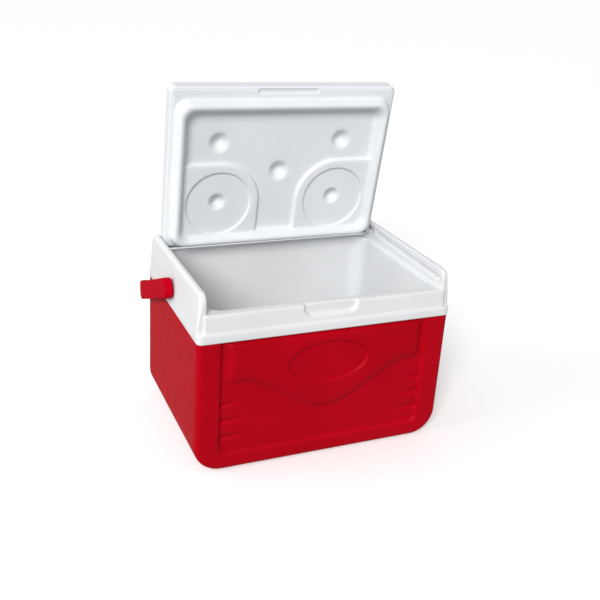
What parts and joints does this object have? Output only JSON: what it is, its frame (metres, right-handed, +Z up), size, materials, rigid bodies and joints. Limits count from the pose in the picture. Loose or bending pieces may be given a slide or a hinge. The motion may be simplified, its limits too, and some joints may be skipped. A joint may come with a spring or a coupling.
{
  "type": "personal cooler",
  "caption": "Small hard-sided picnic cooler: red moulded shell, white foam-backed tub with raised cheeks, flip lid with cup rests and a bail carry handle.",
  "frame": {"origin": "middle of the underside of the shell, on the surface it stands on", "axes": "+Z up, +X to the right seen from the front, -Y is the front with the raised oval field, the lid hinges at the rear (+Y)"},
  "size_m": [0.2888, 0.1926, 0.352],
  "materials": {
    "red_shell": "fine-grained moulded polyethylene, semi-matt",
    "red_handle": "moulded polypropylene, satin",
    "white_tub": "moulded white polyethylene, satin",
    "white_lid": "moulded white polyethylene, satin",
    "white_pin": "plain moulded white plastic",
    "foam": "open-textured insulation foam, hidden"
  },
  "bodies": {
    "body": {"outer_shell": "red_shell", "foam_core": "foam", "tub_liner": "white_tub", "handle_stud_left": "white_pin", "handle_stud_right": "white_pin"},
    "lid": {"lid_cover": "white_lid", "lid_underside": "white_lid", "hinge_pin_left": "white_pin", "hinge_pin_right": "white_pin"},
    "handle": {"carry_handle": "red_handle"}
  },
  "joints": [
    {"name": "lid_hinge", "type": "hinge", "parent": "body", "child": "lid", "pos_m": [0, 0.0833, 0.1805], "axis": [1, 0, 0], "range_deg": [0, 81.3]},
    {"name": "handle_swing", "type": "hinge", "parent": "body", "child": "handle", "pos_m": [0, 0.0003, 0.1617], "axis": [1, 0, 0], "range_deg": [0, 46]}
  ]
}
